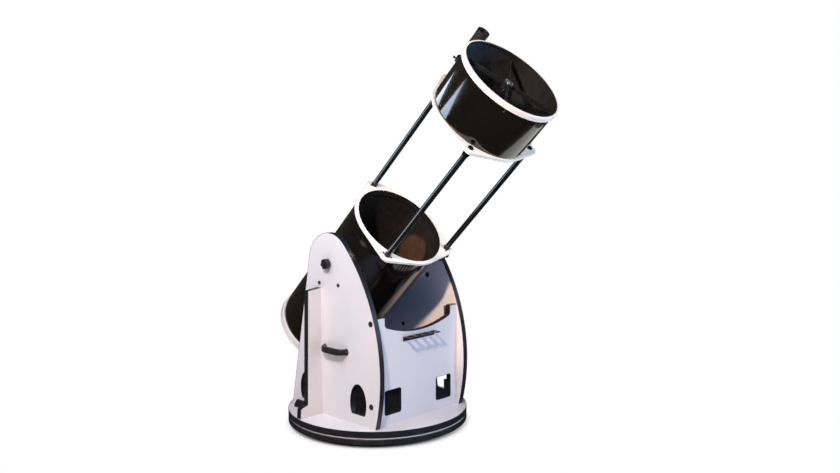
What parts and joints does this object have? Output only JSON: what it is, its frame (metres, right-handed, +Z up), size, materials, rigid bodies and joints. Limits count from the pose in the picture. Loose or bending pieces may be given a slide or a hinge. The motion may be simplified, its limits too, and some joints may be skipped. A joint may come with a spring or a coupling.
{
  "type": "dobsonian telescope",
  "caption": "Large collapsible reflector telescope on a white two-board rocker mount: short lower tube, three sliding rods, upper cage with spider, focuser and finder.",
  "frame": {"origin": "on the azimuth axis at floor level, under the centre of the round base", "axes": "+Z up; -Y is the side the tube points to, over the front board; +X along the altitude axis towards the focuser side"},
  "size_m": [0.8739, 1.573, 1.8417],
  "materials": {
    "white_melamine": "satin white laminated board",
    "black_melamine": "black laminated board",
    "edge_band": "black edge band, slight sheen",
    "black_rubber": "matt",
    "black_steel": "black painted",
    "zinc_steel": "satin",
    "white_plastic": "smooth bearing laminate",
    "ptfe": "waxy",
    "black_plastic": "moulded, light texture",
    "tube_black": "gloss black with fine sparkle",
    "ring_white": "white powder coat",
    "rod_black": "gloss black",
    "anodised_black": "black anodised",
    "cast_aluminium": "plain cast",
    "mirror_glass": "front-aluminised polished",
    "lens_glass": "coated",
    "spring_steel": "bright"
  },
  "bodies": {
    "ground_base": {"ground_board": "black_melamine", "ground_feet": "black_rubber", "azimuth_bolt": "zinc_steel", "bearing_track": "white_plastic"},
    "rocker_box": {"rocker_base_board": "white_melamine", "azimuth_pads": "ptfe", "side_board_right": "white_melamine", "side_board_left": "white_melamine", "front_board": "white_melamine", "rib_right": "white_melamine", "rib_left": "white_melamine", "board_edges": "edge_band", "cover_caps": "black_plastic", "corner_blocks": "black_plastic", "cradle_right": "white_plastic", "cradle_left": "white_plastic", "cradle_pads": "ptfe", "rocker_screws": "black_steel", "handle_right": "black_plastic", "handle_left": "black_plastic", "eyepiece_rack": "black_steel"},
    "lower_tube_assembly": {"lower_tube": "tube_black", "rear_ring": "ring_white", "lower_truss_ring": "ring_white", "trunnion_right": "anodised_black", "trunnion_left": "anodised_black", "rod_guides": "anodised_black", "ring_screws": "black_steel", "mirror_cell": "cast_aluminium", "mirror_plate": "cast_aluminium", "primary_mirror": "mirror_glass", "mirror_clips": "black_plastic", "collimation_springs": "spring_steel"},
    "collimation_knob_a": {"collimation_knob_a": "black_plastic"},
    "collimation_knob_b": {"collimation_knob_b": "black_plastic"},
    "collimation_knob_c": {"collimation_knob_c": "black_plastic"},
    "rod_lock_knob_a": {"rod_lock_knob_a": "black_plastic"},
    "rod_lock_knob_b": {"rod_lock_knob_b": "black_plastic"},
    "rod_lock_knob_c": {"rod_lock_knob_c": "black_plastic"},
    "tension_knob_right": {"tension_knob_right": "black_plastic"},
    "tension_knob_left": {"tension_knob_left": "black_plastic"},
    "upper_cage_assembly": {"truss_rods": "rod_black", "rod_collars": "anodised_black", "upper_truss_ring": "ring_white", "cage_tube": "tube_black", "top_ring": "ring_white", "spider": "black_steel", "cage_screws": "zinc_steel", "secondary_holder": "anodised_black", "secondary_mirror": "mirror_glass", "focuser_body": "anodised_black", "finder_tube": "black_steel", "finder_lens": "lens_glass", "finder_bracket": "black_plastic"},
    "drawtube": {"drawtube": "zinc_steel"},
    "focus_knobs": {"focus_knobs": "anodised_black"},
    "eyepiece_clamp": {"eyepiece_clamp": "zinc_steel"},
    "finder_eyepiece": {"finder_eyepiece": "black_plastic"},
    "finder_screw_a": {"finder_screw_a": "black_plastic"},
    "finder_screw_b": {"finder_screw_b": "black_plastic"}
  },
  "joints": [
    {"name": "azimuth_turn", "type": "hinge", "parent": "ground_base", "child": "rocker_box", "pos_m": [0, 0, 0.08], "axis": [0, 0, 1], "continuous": true},
    {"name": "altitude_tilt", "type": "hinge", "parent": "rocker_box", "child": "lower_tube_assembly", "pos_m": [0, 0.013, 0.802], "axis": [-1, 0, 0], "range_deg": [-44.2, 45.8]},
    {"name": "truss_collapse", "type": "slide", "parent": "lower_tube_assembly", "child": "upper_cage_assembly", "axis": [0, -0.7169, 0.6972], "range_m": [-0.6, 0]},
    {"name": "tension_right_turn", "type": "hinge", "parent": "lower_tube_assembly", "child": "tension_knob_right", "pos_m": [0.31, 0.013, 0.802], "axis": [1, 0, 0], "range_deg": [-180, 180]},
    {"name": "tension_left_turn", "type": "hinge", "parent": "lower_tube_assembly", "child": "tension_knob_left", "pos_m": [-0.31, 0.013, 0.802], "axis": [-1, 0, 0], "range_deg": [-180, 180]},
    {"name": "rod_lock_a_turn", "type": "hinge", "parent": "lower_tube_assembly", "child": "rod_lock_knob_a", "pos_m": [0, 0.05909, 1.14775], "axis": [0, 0.6972, 0.7169], "range_deg": [-180, 180]},
    {"name": "rod_lock_b_turn", "type": "hinge", "parent": "lower_tube_assembly", "child": "rod_lock_knob_b", "pos_m": [-0.21449, -0.26159, 0.81798], "axis": [-0.766, -0.4481, -0.4608], "range_deg": [-180, 180]},
    {"name": "rod_lock_c_turn", "type": "hinge", "parent": "lower_tube_assembly", "child": "rod_lock_knob_c", "pos_m": [0.21449, -0.26159, 0.81798], "axis": [0.766, -0.4481, -0.4608], "range_deg": [-180, 180]},
    {"name": "collimation_a_turn", "type": "hinge", "parent": "lower_tube_assembly", "child": "collimation_knob_a", "pos_m": [0.1299, 0.48827, 0.44444], "axis": [0, -0.7169, 0.6972], "range_deg": [-180, 180]},
    {"name": "collimation_b_turn", "type": "hinge", "parent": "lower_tube_assembly", "child": "collimation_knob_b", "pos_m": [-0.1299, 0.48827, 0.44444], "axis": [0, -0.7169, 0.6972], "range_deg": [-180, 180]},
    {"name": "collimation_c_turn", "type": "hinge", "parent": "lower_tube_assembly", "child": "collimation_knob_c", "pos_m": [0, 0.3314, 0.28314], "axis": [0, -0.7169, 0.6972], "range_deg": [-180, 180]},
    {"name": "focus_turn", "type": "hinge", "parent": "upper_cage_assembly", "child": "focus_knobs", "pos_m": [0.22052, -0.57006, 1.57649], "axis": [-0.5592, 0.578, 0.5943], "range_deg": [-150, 225]},
    {"name": "drawtube_travel", "type": "slide", "parent": "upper_cage_assembly", "child": "drawtube", "axis": [0.829, 0.3898, 0.4009], "range_m": [-0.0157, 0.0235]},
    {"name": "clamp_turn", "type": "hinge", "parent": "drawtube", "child": "eyepiece_clamp", "pos_m": [0.25122, -0.54641, 1.64966], "axis": [-0.5592, 0.578, 0.5943], "range_deg": [-180, 180]},
    {"name": "finder_focus_turn", "type": "hinge", "parent": "upper_cage_assembly", "child": "finder_eyepiece", "pos_m": [0.02103, -0.48754, 1.66142], "axis": [0, -0.7169, 0.6972], "range_deg": [-180, 180]},
    {"name": "finder_screw_a_turn", "type": "hinge", "parent": "upper_cage_assembly", "child": "finder_screw_a", "pos_m": [-0.00984, -0.51281, 1.72149], "axis": [-0.7716, 0.4435, 0.456], "range_deg": [-180, 180]},
    {"name": "finder_screw_b_turn", "type": "hinge", "parent": "upper_cage_assembly", "child": "finder_screw_b", "pos_m": [0.05549, -0.5164, 1.71781], "axis": [0.8616, 0.3538, 0.3639], "range_deg": [-180, 180]}
  ],
  "couplings": [
    {"joint": "focus_turn", "follows": "drawtube_travel", "rad_per_m": 166.67}
  ]
}
